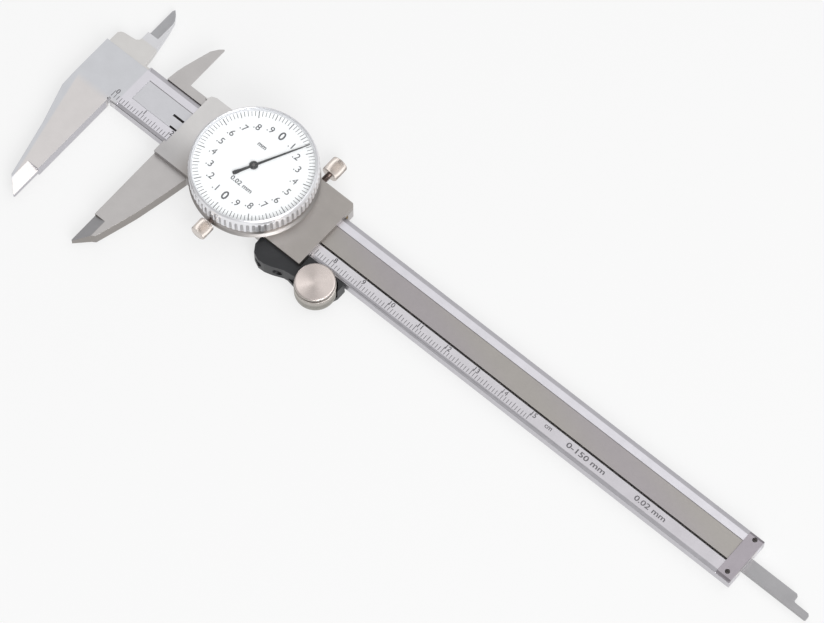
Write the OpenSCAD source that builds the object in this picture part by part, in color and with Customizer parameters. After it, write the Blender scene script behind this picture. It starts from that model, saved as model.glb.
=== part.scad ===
// Dial caliper, 0-150 mm: beam with fixed jaws, slider with moving jaws, depth rod,
// geared dial movement, rotating bezel, thumb roller and two clamp screws.
// +X runs along the beam from the fixed jaw to the depth rod's tip, +Y runs towards the
// inside-measuring jaws, +Z points out of the dial. X = 0 is the fixed outside measuring
// face, Y = 0 is the beam's lower edge, Z = 0 is the beam's front face. Millimetres.

/* [Beam] */
// Width of the beam
beam_w = 15.2; // [15:0.1:16]
// Thickness of the beam
beam_t = 4; // [4:0.1:4.6]
// Distance from the fixed measuring face to the end of the beam
beam_l = 220.5; // [216:0.5:240]
// Reach of the outside jaws below the beam
jaw_l = 38.5; // [37.5:0.5:42]
// Width of the open guide slot beside the cover strip
slot_w = 0.6; // [0.55:0.05:0.8]

/* [Slider] */
// Jaw opening in the stored pose
opening = 21.15; // [20:0.05:21.5]
// Length of the slider
slider_l = 53.15; // [52.5:0.05:54]
// Height of the slider's front plate above the beam's front face
plate_h = 1.8; // [1.8:0.05:2]

/* [Dial] */
// Outer radius of the bezel
bezel_r = 18.15; // [18:0.05:18.4]
// Height of the bezel's top above the beam's front face
bezel_top = 10.2; // [10.2:0.05:10.6]
// Length of the needle from the centre to its tip
needle_l = 16.6; // [12:0.1:16.6]

/* [Screws and roller] */
// Radius of the thumb roller
roller_r = 5.9; // [5.5:0.05:6.1]
// Radius of the knurled clamp screw heads
knurl_r = 2.5; // [2:0.1:2.8]

/* [Hidden] */
$fn = 96;

e = 0.01;
slot_y = 4.75;                     // centre line of the guide slot
cov_y0 = slot_y + slot_w / 2;      // lower edge of the cover strip
cov_y1 = 11.7;                     // upper edge of the cover strip
cov_t = 0.5;                       // cover strip thickness
pocket_z = -1.8;                   // floor of the rack pocket
rod_y0 = 5.75; rod_y1 = 10.15;     // depth rod edges
rod_z1 = -2.8;                     // depth rod front face
groove_z = -2.7;                   // roof of the rod groove
clamp_x0 = 215.9 + (beam_l - 220.5);
sx0 = opening;                     // moving measuring face
sx1 = opening + slider_l;          // slider's right end
s_y0 = -4.3; s_y1 = 19.1;          // slider's edges
dc = [opening + 26.65, 7.5];       // dial centre
p = 0.5;                           // tooth pitch of the whole train
add = 0.12; ded = 0.17;            // tooth addendum and dedendum
n_rp = 16; n_w = 80; n_cp = 20;    // rack pinion, wheels, centre pinion
r_rp = n_rp * p / (2 * PI);
r_w = n_w * p / (2 * PI);
r_cp = n_cp * p / (2 * PI);
cd = r_w + r_cp;                   // centre distance
phi = asin((dc[1] - slot_y) / cd); // direction from wheel to centre pinion
wc = [dc[0] - cd * cos(phi), slot_y];
pillar = [[110, 8.6], [290, 8.6], [150, 11.4], [330, 11.4]]; // angle and radius of the movement pillars
tc = [dc[0] + cd * cos(phi), dc[1] + (dc[1] - slot_y)];
rack_y = slot_y + r_rp;            // rack pitch line
rc = [81.5 + (opening - 21.15), -(roller_r + 0.03)]; // thumb roller centre
back_z = -beam_t - 1.1;            // back of the slider's back plate

// gear outline with straight-flanked teeth
module gear2d(n) {
  r = n * p / (2 * PI);
  k = 180 / PI * p / r;
  polygon([for (i = [0:n - 1]) for (q = [[r - ded, -0.30], [r + add, -0.10], [r + add, 0.10], [r - ded, 0.30]])
    [q[0] * cos(360 / n * i + k * q[1]), q[0] * sin(360 / n * i + k * q[1])]]);
}

module slotted_head(r, h, w, d) {
  difference() {
    cylinder(r = r, h = h);
    translate([-r - 1, -w / 2, h - d]) cube([2 * r + 2, w, d + 1]);
  }
}

// rectangular bar between two corners
module bar(a, b) translate(a) cube(b - a);

// ---------- beam ----------
module main_beam() color([0.74, 0.73, 0.75]) difference() {
  union() {
    // beam with bevelled long edges
    rotate([90, 0, 90]) linear_extrude(height = beam_l) polygon([[0, -beam_t + 0.3], [0.3, -beam_t],
      [beam_w - 0.3, -beam_t], [beam_w, -beam_t + 0.3], [beam_w, -0.45], [beam_w - 1.35, 0],
      [1.05, 0], [0, -0.45]]);
    // head and fixed outside jaw
    translate([0, 0, -beam_t]) linear_extrude(height = beam_t) polygon([[0, 0.02], [0, -jaw_l + 0.3],
      [-0.35, -jaw_l], [-4.5, -jaw_l + 4], [-8.8, -17.1], [-10.9, -10.6], [-12.7, -4.9],
      [-12.9, 1.1], [-12.9, 17.9], [-12.3, 18.7], [-11.4, 19.05], [-7.4, 19.5], [-6.6, 20.1], [-6.4, 20.8],
      [-6.4, 33.6], [-5.9, 34.3], [-4.5, 33], [-3, 30.9], [-2, 27.2], [-1.1, 22.6], [-0.3, 18.1],
      [-0.1, 15.6], [0.2, beam_w - 0.3], [3, beam_w - 0.3], [3, 0.3], [0.5, 0.02]]);
  }
  // recess that lets the moving inside jaw pass in front
  bar([-14, 13.9, -beam_t / 2], [2.5, 36, 1]);
  // ground bevel of the inside jaw, knife edge at the back
  translate([0, 40, 0]) rotate([90, 0, 0]) linear_extrude(height = 16.4)
    polygon([[-6.41, -beam_t + 0.15], [-2.7, -beam_t / 2 + 0.01], [-7, 1], [-7.5, -beam_t + 0.15]]);
  // thinned measuring tip of the outside jaw, front and back
  translate([0, -28.6, 0]) rotate([90, 0, 0]) linear_extrude(height = 14)
    polygon([[-3.8, 0.01], [0.01, -1.3], [1, -1.3], [1, 1], [-3.8, 1]]);
  translate([0, -28.6, -beam_t]) rotate([90, 0, 0]) linear_extrude(height = 14)
    polygon([[-3.8, -0.01], [0.01, 1.3], [1, 1.3], [1, -1], [-3.8, -1]]);
  // relief notch in the inner corner
  translate([0.05, 0.25, -beam_t - 1]) cylinder(r = 0.47, h = beam_t + 2);
  // seat of the cover strip and the open slot beside it
  bar([5, slot_y - slot_w / 2, -cov_t], [beam_l + 1, cov_y1 + 0.02, 1]);
  // pocket of the rack, undercut below the scale strip
  bar([14, slot_y - 1.65, pocket_z], [clamp_x0 + 1, 11, -cov_t + e]);
  // groove of the depth rod
  bar([3, rod_y0 - 0.12, -beam_t - 1], [beam_l + 1, rod_y1 + 0.12, groove_z]);
  translate([beam_l - 2.2, 0, 0]) bar([0, rod_y0 - 0.7, -beam_t - 1], [4, rod_y1 + 0.7, groove_z]);
  // seat of the end clamp and its two tapped holes
  bar([clamp_x0, -1, -0.6], [beam_l + 1, beam_w + 1, 1]);
  for (y = [2.1, beam_w - 1.5]) translate([clamp_x0 + 2.3, y, -3]) cylinder(r = 0.5, h = 4);
  // holes of the rack pins
  for (x = [30, 90, 150]) translate([x, 8.6, groove_z - 1]) cylinder(r = 0.6, h = 3);
}

// toothed rack in the pocket
module gear_rack() color([0.55, 0.55, 0.57]) difference() {
  translate([0, 0, pocket_z]) linear_extrude(height = 1.25) polygon(concat(
    [for (i = [-47:266]) let (x = wc[0] + p / 2 + p * i)
      for (q = [[-0.30, ded], [-0.10, -add], [0.10, -add], [0.30, ded]]) [x + p * q[0], rack_y + q[1]]],
    [[wc[0] + p * 267.5, rack_y + ded], [wc[0] + p * 267.5, 10.9], [wc[0] - p * 48, 10.9], [wc[0] - p * 48, rack_y + ded]]));
  for (x = [30, 90, 150]) translate([x, 8.6, pocket_z - 1]) cylinder(r = 0.6, h = 1.8);
}

// thin strip that guards the rack
module cover_strip() color([0.66, 0.65, 0.66]) difference() {
  // full width near the head, narrower where the guide slot runs beside it
  translate([0, 0, -cov_t]) linear_extrude(height = cov_t) polygon([[5.03, slot_y - slot_w / 2 + 0.02], [18.7, slot_y - slot_w / 2 + 0.02],
    [18.7, cov_y0], [clamp_x0 - 0.05, cov_y0], [clamp_x0 - 0.05, cov_y1], [5.03, cov_y1]]);
  bar([17.2, 7.7, -cov_t - 1], [21, 8.4, 1]);
}

module rack_pins() color([0.6, 0.6, 0.62])
  for (x = [30, 90, 150]) translate([x, 8.6, groove_z + 0.05]) cylinder(r = 0.6, h = 1.6);

// plate that closes the end of the beam
module end_clamp() color([0.7, 0.69, 0.71]) difference() {
  translate([clamp_x0, 0, 0]) rotate([90, 0, 90]) linear_extrude(height = beam_l - clamp_x0)
    polygon([[0.15, -0.6], [0.15, -0.1], [0.75, 0.3], [beam_w - 0.9, 0.3], [beam_w - 0.15, -0.1], [beam_w - 0.15, -0.6]]);
  for (y = [2.1, beam_w - 1.5]) translate([clamp_x0 + 2.3, y, 0]) {
    translate([0, 0, -1]) cylinder(r = 0.55, h = 2);
    translate([0, 0, -0.15]) cylinder(r = 0.7, h = 1);
  }
}

module end_clamp_screws() color([0.5, 0.5, 0.52])
  for (y = [2.1, beam_w - 1.5]) translate([clamp_x0 + 2.3, y, 0]) {
    translate([0, 0, -2.8]) cylinder(r = 0.5, h = 2.7);
    translate([0, 0, -0.15]) slotted_head(0.65, 0.4, 0.22, 0.2);
  }

// ---------- slider ----------
module slider_body() color([0.66, 0.64, 0.63]) difference() {
  union() {
    // front plate
    translate([0, 0, 0.05]) linear_extrude(height = plate_h - 0.05) polygon([[sx0, s_y0], [sx1, s_y0], [sx1, 18.2],
      [sx1 - 0.8, s_y1], [sx0 + 2.4, s_y1], [sx0 + 1, 18.5], [sx0 + 0.6, 17.6], [sx0, 17]]);
    // lower and upper walls around the beam
    bar([sx0, s_y0, -beam_t - 0.1], [sx1, -0.05, 0.1]);
    translate([0, 0, -beam_t - 0.1]) linear_extrude(height = beam_t + 0.2) polygon([[sx0 + 0.6, 16.1], [sx1, 16.1],
      [sx1, 18.2], [sx1 - 0.8, s_y1], [sx0 + 2.4, s_y1], [sx0 + 1, 18.5], [sx0 + 0.6, 17.6]]);
    // moving outside jaw
    translate([0, 0, -beam_t]) linear_extrude(height = beam_t) polygon([[sx0, s_y0 + 0.5], [sx0, -jaw_l + 0.3],
      [sx0 + 0.35, -jaw_l], [sx0 + 3.7, -jaw_l + 4.2], [sx0 + 4.75, -33.6], [sx0 + 7.2, -25.5], [sx0 + 8.5, -21],
      [sx0 + 9.7, -15.5], [sx0 + 10.7, -11], [sx0 + 11.4, -7.5], [sx0 + 12, s_y0 - 0.2], [sx0 + 12.1, s_y0 + 0.5]]);
    // moving inside jaw and the arm that carries it
    translate([sx0 - 21.15, 0, -beam_t / 2 + 0.06]) linear_extrude(height = beam_t / 2 - 0.06) polygon([[8.4, 15.3], [8.9, 19],
      [9.45, 21.5], [10.05, 23.5], [10.6, 25.5], [11.2, 27.5], [11.8, 29.5], [13.2, 31.5], [14.4, 32.5],
      [14.75, 32.2], [14.75, 17.95], [22.4, 17.95], [22.4, 15.3]]);
  }
  // knife edge of the moving inside jaw, bevel at the back
  translate([sx0 - 21.15, 40, 0]) rotate([90, 0, 0]) linear_extrude(height = 21.9)
    polygon([[14.8, -0.15], [11.4, -beam_t / 2 + 0.05], [11.4, -beam_t / 2 - 1], [16, -beam_t / 2 - 1], [16, -0.15]]);
  // room for the beam and the gib above it
  bar([sx0 - 1, -0.05, -beam_t - 1], [sx1 + 1, 15.25, 0.05]);
  bar([sx0 + 0.6 - 1.5, 15.2, -beam_t - 1], [sx0 + 0.6, 15.25, 1]);
  // thinned measuring tip, front and back
  translate([sx0, -28.6, 0]) rotate([90, 0, 0]) linear_extrude(height = 14)
    polygon([[3.8, 0.01], [-0.01, -1.3], [-1, -1.3], [-1, 1], [3.8, 1]]);
  translate([sx0, -28.6, -beam_t]) rotate([90, 0, 0]) linear_extrude(height = 14)
    polygon([[3.8, -0.01], [-0.01, 1.3], [-1, 1.3], [-1, -1], [3.8, -1]]);
  // relief notch at the inner corner of the jaw
  translate([sx0 - 0.2, -0.6, -beam_t - 1]) cylinder(r = 0.6, h = beam_t + 1.05);
  // front plate set back a little from the measuring face
  bar([sx0 - 1, -0.06, 0], [sx0 + 0.7, 17, 5]);
  // bearing holes of the movement
  translate([wc[0], wc[1], -1]) cylinder(r = 0.55, h = 4);
  for (c = [dc, tc]) translate([c[0], c[1], 0.7]) cylinder(r = 0.35, h = 4);
  // tapped holes of the pillars
  for (q = pillar) translate([dc[0] + q[1] * cos(q[0]), dc[1] + q[1] * sin(q[0]), 0.6]) cylinder(r = 0.5, h = 2);
  // countersunk holes of the dial case screws, open to the underside
  for (a = [20, 160, 200, 340]) translate([dc[0] + 16.35 * cos(a), dc[1] + 16.35 * sin(a), 0]) {
    translate([0, 0, -0.5]) cylinder(r = 0.55, h = 3);
    translate([0, 0, 0.04]) cylinder(r1 = 1.15, r2 = 0.55, h = 0.6);
  }
  // clamp screw, gib screws and holder screws
  translate([opening + 40.55, 16, -1.6]) rotate([-90, 0, 0]) cylinder(r = 1.05, h = 5);
  for (x = [9, 25]) translate([opening + x, 16, -1.9]) rotate([-90, 0, 0]) cylinder(r = 0.75, h = 5);
  for (x = [43, 49]) translate([opening + x, s_y0 - 1, -2.4]) rotate([-90, 0, 0]) cylinder(r = 0.7, h = 3.6);
  // tapped holes of the back plate
  for (x = [5, 45.5]) for (y = [-2.2, 17.3]) translate([sx0 + x, y, -beam_t - 1]) cylinder(r = 0.6, h = 3.2);
}

module back_plate() color([0.68, 0.67, 0.68]) difference() {
  bar([sx0 + 2, -3.8, back_z], [sx0 + 51, 18.4, -beam_t - 0.1]);
  for (x = [5, 45.5]) for (y = [-2.2, 17.3]) translate([sx0 + x, y, back_z - 0.01]) {
    cylinder(r = 0.65, h = 3);
    cylinder(r1 = 1.15, r2 = 0.65, h = 0.5);
  }
  for (x = [6.5, 11.5]) translate([sx0 + x, 7.95, back_z - 0.01]) {
    cylinder(r = 0.65, h = 3);
    cylinder(r1 = 1.15, r2 = 0.65, h = 0.5);
  }
}

// countersunk screw pointing along +Z from its head
module csk(l) difference() {
  union() {
    cylinder(r1 = 1.1, r2 = 0.58, h = 0.5);
    cylinder(r = 0.58, h = l);
  }
  translate([-2, -0.13, -1]) cube([4, 0.26, 1.25]);
}

module back_plate_screws() color([0.5, 0.5, 0.52])
  for (x = [5, 45.5]) for (y = [-2.2, 17.3]) translate([sx0 + x, y, back_z]) csk(3);

// thin strip between the beam's upper edge and the slider
module gib_strip() color([0.72, 0.6, 0.33]) bar([sx0 + 1.4, 15.25, -beam_t + 0.4], [sx1 - 0.6, 16.05, -0.5]);

module gib_screws() color([0.45, 0.45, 0.47])
  for (x = [9, 25]) translate([opening + x, 16.05, -1.9]) rotate([-90, 0, 0]) slotted_head(0.72, 2.7, 0.3, 0.5);

module depth_rod() color([0.62, 0.62, 0.63]) difference() {
  union() {
    translate([0, 0, -beam_t + 0.02]) linear_extrude(height = beam_t + rod_z1 - 0.02) polygon([[sx0 + 4, rod_y0], [beam_l + opening - 0.3, rod_y0],
      [beam_l + opening, rod_y0 + 0.3], [beam_l + opening, rod_y0 + 1.5], [beam_l + opening - 0.5, rod_y0 + 2], [beam_l + opening - 5, rod_y0 + 2.1],
      [beam_l + opening - 5.6, rod_y0 + 2.5], [beam_l + opening - 5.6, rod_y1 - 0.5], [beam_l + opening - 6.1, rod_y1], [sx0 + 4, rod_y1]]);
    // pad that meets the back plate
    bar([sx0 + 4, rod_y0, -beam_t - 0.1], [sx0 + 14, rod_y1, -beam_t + 0.5]);
  }
  for (x = [6.5, 11.5]) translate([sx0 + x, 7.95, -beam_t - 1]) cylinder(r = 0.6, h = 1.9);
}

module rod_screws() color([0.5, 0.5, 0.52])
  for (x = [6.5, 11.5]) translate([sx0 + x, 7.95, back_z]) csk(1.9);

// ---------- dial ----------
module ring(r0, r1, z0, z1) translate([dc[0], dc[1], z0]) difference() {
  cylinder(r = r1, h = z1 - z0);
  translate([0, 0, -1]) cylinder(r = r0, h = z1 - z0 + 2);
}

module dial_case() color([0.78, 0.78, 0.79]) difference() {
  translate([dc[0], dc[1], plate_h]) rotate_extrude() polygon([[0, 0], [18.3, 0], [17.7, 0.7], [17.6, 1.0], [17.6, 2.4],
    [16.9, 2.4], [16.9, 1.05], [15.9, 1.05], [15.9, 4.85], [15.5, 4.85], [15.5, 5.5], [15.9, 5.5], [15.9, 6.4], [14.75, 6.4], [14.75, 0.6], [0, 0.6]]);
  // openings of the movement in the case floor
  for (c = [[wc, 0.8], [dc, 0.6], [tc, 0.6]]) translate([c[0][0], c[0][1], plate_h - 1]) cylinder(r = c[1], h = 3);
  for (q = pillar) translate([dc[0] + q[1] * cos(q[0]), dc[1] + q[1] * sin(q[0]), plate_h - 1]) cylinder(r = 0.55, h = 3);
  // tapped hole of the bezel clamp screw
  translate([dc[0], dc[1] - 16.5, plate_h + 1.5]) rotate([90, 0, 0]) cylinder(r = 0.8, h = 3);
  for (a = [20, 160, 200, 340]) translate([dc[0] + 16.35 * cos(a), dc[1] + 16.35 * sin(a), plate_h - 1]) cylinder(r = 0.5, h = 1.8);
}

module dial_case_screws() color([0.5, 0.5, 0.52])
  for (a = [20, 160, 200, 340]) translate([dc[0] + 16.35 * cos(a), dc[1] + 16.35 * sin(a), 0.08]) {
    cylinder(r1 = 1.05, r2 = 0.5, h = 0.55);
    cylinder(r = 0.48, h = 2.4);
  }

// split wire that keeps the bezel on the case
module bezel_snap_ring() color([0.5, 0.5, 0.52]) difference() {
  ring(15.52, 16.15, plate_h + 4.9, plate_h + 5.4);
  translate([dc[0], dc[1] - 1.5, 0]) cube([20, 3, 20]);
}

module bezel_ring() color([0.85, 0.85, 0.86]) translate([dc[0], dc[1], 0]) rotate_extrude() polygon([
  [15.95, 4.5], [16, plate_h + 1.25], [16.8, plate_h + 1.25], [16.8, 4.5], [bezel_r - 0.25, 4.5], [bezel_r, 4.75], [bezel_r, bezel_top - 1.7],
  [bezel_r - 0.3, bezel_top - 1.4], [bezel_r - 0.25, bezel_top - 0.6], [bezel_r - 0.8, bezel_top], [17.3, bezel_top],
  [17.3, bezel_top - 0.5], [16.95, bezel_top - 0.5], [16.95, 8.6], [15.95, 8.6], [15.95, plate_h + 5.6],
  [16.35, plate_h + 5.6], [16.35, plate_h + 4.7], [15.95, plate_h + 4.7]]);

module dial_face() color([0.96, 0.96, 0.96]) ring(0.9, 16.93, 8.6, 9);

module crystal() color([0.85, 0.9, 0.92]) ring(0, 17.28, bezel_top - 0.5, bezel_top + 0.1);

module movement_plate() color([0.8, 0.7, 0.4]) difference() {
  translate([dc[0], dc[1], 5]) cylinder(r = 13.2, h = 0.8);
  translate([dc[0], dc[1], 4]) cylinder(r = 0.46, h = 3);
  for (c = [wc, tc]) translate([c[0], c[1], 4]) cylinder(r = 0.35, h = 3);
  for (q = pillar) translate([dc[0] + q[1] * cos(q[0]), dc[1] + q[1] * sin(q[0]), 4]) cylinder(r = 0.55, h = 3);
}

module movement_pillars() color([0.8, 0.7, 0.4])
  for (q = pillar) translate([dc[0] + q[1] * cos(q[0]), dc[1] + q[1] * sin(q[0]), plate_h + 0.6]) difference() {
    union() {
      cylinder(r = 1.2, h = 4.4 - plate_h);
      translate([0, 0, -1.6]) cylinder(r = 0.48, h = 2);
    }
    translate([0, 0, 1.1]) cylinder(r = 0.5, h = 4);
  }

module movement_screws() color([0.45, 0.45, 0.48])
  for (q = pillar) translate([dc[0] + q[1] * cos(q[0]), dc[1] + q[1] * sin(q[0]), 0]) {
    translate([0, 0, 3.7]) cylinder(r = 0.48, h = 2.2);
    translate([0, 0, 5.8]) slotted_head(0.95, 0.5, 0.25, 0.25);
  }

// flat spiral that keeps the train free of backlash, with its stud under the plate
module hairspring() color([0.35, 0.4, 0.55]) translate([tc[0], tc[1], 0]) {
  translate([0, 0, 4.1]) linear_extrude(height = 0.4) polygon(concat(
    [for (a = [0:15:1260]) (1.25 + a / 360 * 0.85) * [cos(a), sin(a)]],
    [for (a = [1260:-15:0]) (1.37 + a / 360 * 0.85) * [cos(a), sin(a)]]));
  translate([-4.3, 0, 4.1]) cylinder(r = 0.4, h = 0.9);
}

module pointer_arbor() color([0.6, 0.6, 0.62]) translate([dc[0], dc[1], 0]) {
  translate([0, 0, 0.8]) cylinder(r = 0.3, h = 1.7);
  translate([0, 0, 2.45]) cylinder(r = 0.4, h = 7.05);
  translate([0, 0, 2.7]) rotate([0, 0, phi + 180 + 180 / n_cp]) linear_extrude(height = 0.9) gear2d(n_cp);
}

needle_a = -360 * (0.15 / 2);      // reading of 0.15 mm past the zero
module needle() color([0.12, 0.12, 0.13]) translate([dc[0], dc[1], 9.2]) rotate([0, 0, needle_a]) difference() {
  union() {
    cylinder(r = 1.25, h = 0.4);
    linear_extrude(height = 0.2) polygon([[-0.42, -6.2], [0.42, -6.2], [0.3, 0], [0.26, 5], [0.07, needle_l], [-0.07, needle_l], [-0.26, 5], [-0.3, 0]]);
  }
  translate([0, 0, -1]) cylinder(r = 0.4, h = 3);
}

module rack_pinion() color([0.6, 0.6, 0.62]) translate([wc[0], wc[1], 0]) {
  translate([0, 0, pocket_z + 0.15]) rotate([0, 0, 90]) linear_extrude(height = 0.95) gear2d(n_rp);
  translate([0, 0, -0.75]) cylinder(r = 0.25, h = 1);
  translate([0, 0, 0.12]) cylinder(r = 0.5, h = 3.9);
  translate([0, 0, 4]) cylinder(r = 0.3, h = 1.75);
}

module gear_wheel() color([0.85, 0.72, 0.35]) translate([wc[0], wc[1], 2.9]) difference() {
  union() {
    rotate([0, 0, phi]) linear_extrude(height = 0.5) gear2d(n_w);
    cylinder(r = 1.1, h = 1);
  }
  translate([0, 0, -1]) cylinder(r = 0.5, h = 3);
  for (a = [0:72:288]) rotate([0, 0, a]) translate([3.6, 0, -1]) cylinder(r = 1.2, h = 3);
}

module takeup_arbor() color([0.6, 0.6, 0.62]) translate([tc[0], tc[1], 0]) {
  translate([0, 0, 0.8]) cylinder(r = 0.3, h = 1.7);
  translate([0, 0, 2.45]) cylinder(r = 0.4, h = 2.3);
  translate([0, 0, 4.05]) cylinder(r = 1.05, h = 0.55);
  translate([0, 0, 4.7]) cylinder(r = 0.3, h = 1.05);
}

module takeup_wheel() color([0.85, 0.72, 0.35]) translate([tc[0], tc[1], 2.9]) difference() {
  union() {
    rotate([0, 0, phi]) linear_extrude(height = 0.5) gear2d(n_w);
    cylinder(r = 1.1, h = 1);
  }
  translate([0, 0, -1]) cylinder(r = 0.4, h = 3);
  for (a = [0:72:288]) rotate([0, 0, a]) translate([3.6, 0, -1]) cylinder(r = 1.2, h = 3);
}

// ---------- thumb roller ----------
module thumb_holder() color([0.16, 0.17, 0.18]) difference() {
  union() {
    // block against the slider's lower wall, reaching along the beam's edge
    translate([opening - 21.15, 0, -5]) linear_extrude(height = 5.5) polygon([[60.6, s_y0 - 0.02], [60.8, -7.1], [62.2, -9.2], [64.4, -10.2],
      [66.5, -10.1], [68.8, -9.4], [71.8, -8.1], [74.6, -7.7], [77.5, -7], [80, -3], [79, -0.35], [74.65, -0.35], [74.65, s_y0 - 0.02]]);
    // plate below the roller and the ear on its far side
    translate([opening - 21.15, 0, -5]) linear_extrude(height = 1.5) polygon([[73, -7.9], [77.5, -8.6], [81.5, -9.2], [84.5, -8],
      [86.4, -5.5], [87.2, -3.3], [87.2, -0.35], [74.65, -0.35], [74.65, s_y0 - 0.02], [73, s_y0 - 0.02]]);
    translate([opening - 21.15, 0, -3.6]) linear_extrude(height = 3.8) polygon([[83.6, -0.35], [87.2, -0.35], [87.2, -3.3], [86.4, -4], [83.6, -1]]);
  }
  translate([rc[0], rc[1], -3.45]) cylinder(r = roller_r + 0.3, h = 10);
  translate([rc[0], rc[1], -6]) cylinder(r = 1.2, h = 5);
  for (x = [43, 49]) translate([opening + x, s_y0 + 1, -2.4]) rotate([90, 0, 0]) {
    cylinder(r = 0.7, h = 12);
    translate([0, 0, 4]) cylinder(r = 1.3, h = 12);
  }
}

module thumb_holder_screws() color([0.4, 0.4, 0.42])
  for (x = [43, 49]) translate([opening + x, s_y0 + 1, -2.4]) rotate([90, 0, 0]) {
    translate([0, 0, -1.4]) cylinder(r = 0.66, h = 5.5);
    translate([0, 0, 4]) slotted_head(1.2, 0.8, 0.35, 0.4);
  }

module roller_axle() color([0.6, 0.6, 0.62]) translate([rc[0], rc[1], -5]) cylinder(r = 1.2, h = 6.2);

module thumb_roller() color([0.8, 0.77, 0.75]) translate([rc[0], rc[1], 0]) rotate_extrude() polygon([[1.25, -3.2], [roller_r - 0.3, -3.2],
  [roller_r, -2.9], [roller_r, 0.9], [roller_r - 0.25, 1.2], [roller_r - 0.7, 1.3], [roller_r - 0.7, 2.0], [roller_r - 0.2, 2.1],
  [roller_r - 0.15, 2.8], [roller_r - 0.35, 3], [0, 3], [0, 1.4], [1.25, 1.4]]);

// ---------- clamp screws ----------
module slider_lock_screw() color([0.75, 0.73, 0.7]) translate([opening + 40.55, 16.07, -1.6]) rotate([-90, 0, 0]) {
  cylinder(r = 1, h = 6.6);
  translate([0, 0, 6.4]) rotate_extrude() polygon([[0, 0], [knurl_r - 0.3, 0], [knurl_r, 0.3], [knurl_r, 4.6], [knurl_r - 0.4, 5], [0, 5]]);
}

module bezel_lock_screw() color([0.75, 0.73, 0.7]) translate([dc[0], dc[1] - 16.82, plate_h + 1.5]) rotate([90, 0, 0]) {
  cylinder(r1 = 0.45, r2 = 0.77, h = 0.4);
  translate([0, 0, 0.35]) cylinder(r = 0.77, h = 2.3);
  translate([0, 0, 2.45]) rotate_extrude() polygon([[0, 0], [knurl_r - 0.45, 0], [knurl_r - 0.2, 0.3], [knurl_r - 0.2, 4.1], [knurl_r - 0.5, 4.4], [0, 4.4]]);
}

main_beam();
gear_rack();
cover_strip();
rack_pins();
end_clamp();
end_clamp_screws();
slider_body();
back_plate();
back_plate_screws();
gib_strip();
gib_screws();
depth_rod();
rod_screws();
dial_case();
dial_case_screws();
bezel_snap_ring();
movement_plate();
movement_pillars();
movement_screws();
hairspring();
thumb_holder();
thumb_holder_screws();
roller_axle();
bezel_ring();
dial_face();
crystal();
pointer_arbor();
needle();
rack_pinion();
gear_wheel();
takeup_arbor();
takeup_wheel();
thumb_roller();
slider_lock_screw();
bezel_lock_screw();
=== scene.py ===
import math

import bmesh
import bpy
from mathutils import Matrix, Vector


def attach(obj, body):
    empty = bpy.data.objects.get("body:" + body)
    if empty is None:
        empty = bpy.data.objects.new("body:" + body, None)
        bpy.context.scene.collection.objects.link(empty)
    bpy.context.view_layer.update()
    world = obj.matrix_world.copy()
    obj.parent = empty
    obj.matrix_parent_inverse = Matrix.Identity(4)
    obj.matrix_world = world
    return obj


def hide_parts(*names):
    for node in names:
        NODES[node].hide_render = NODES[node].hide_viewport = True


# ---------------------------------------------------------------- camera
scene = bpy.context.scene
AZ, EL, DIST = math.radians(40.48), math.radians(65.65), 1.05495
TARGET = Vector((0.10638, 0.0054, 0.0))
back = Vector((math.sin(AZ) * math.cos(EL), -math.cos(AZ) * math.cos(EL), math.sin(EL)))
right = Vector((math.cos(AZ), math.sin(AZ), 0.0))
up = back.cross(right)
cam_data = bpy.data.cameras.new("camera")
cam_data.lens = 170.16
cam_data.sensor_width = 36.0
cam_data.clip_start = 0.01
cam_data.clip_end = 20.0
cam = bpy.data.objects.new("camera", cam_data)
scene.collection.objects.link(cam)
rot = Matrix((right, up, back)).transposed().to_4x4()
cam.matrix_world = Matrix.Translation(TARGET + back * DIST) @ rot
scene.camera = cam
scene.view_settings.view_transform = "Standard"

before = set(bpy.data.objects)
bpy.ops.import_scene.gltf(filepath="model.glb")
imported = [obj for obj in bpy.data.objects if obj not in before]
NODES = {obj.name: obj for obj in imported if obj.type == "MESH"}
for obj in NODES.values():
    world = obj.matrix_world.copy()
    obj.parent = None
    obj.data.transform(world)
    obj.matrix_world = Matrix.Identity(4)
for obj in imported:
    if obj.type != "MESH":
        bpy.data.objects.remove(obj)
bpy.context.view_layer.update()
MM = 0.001


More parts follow.
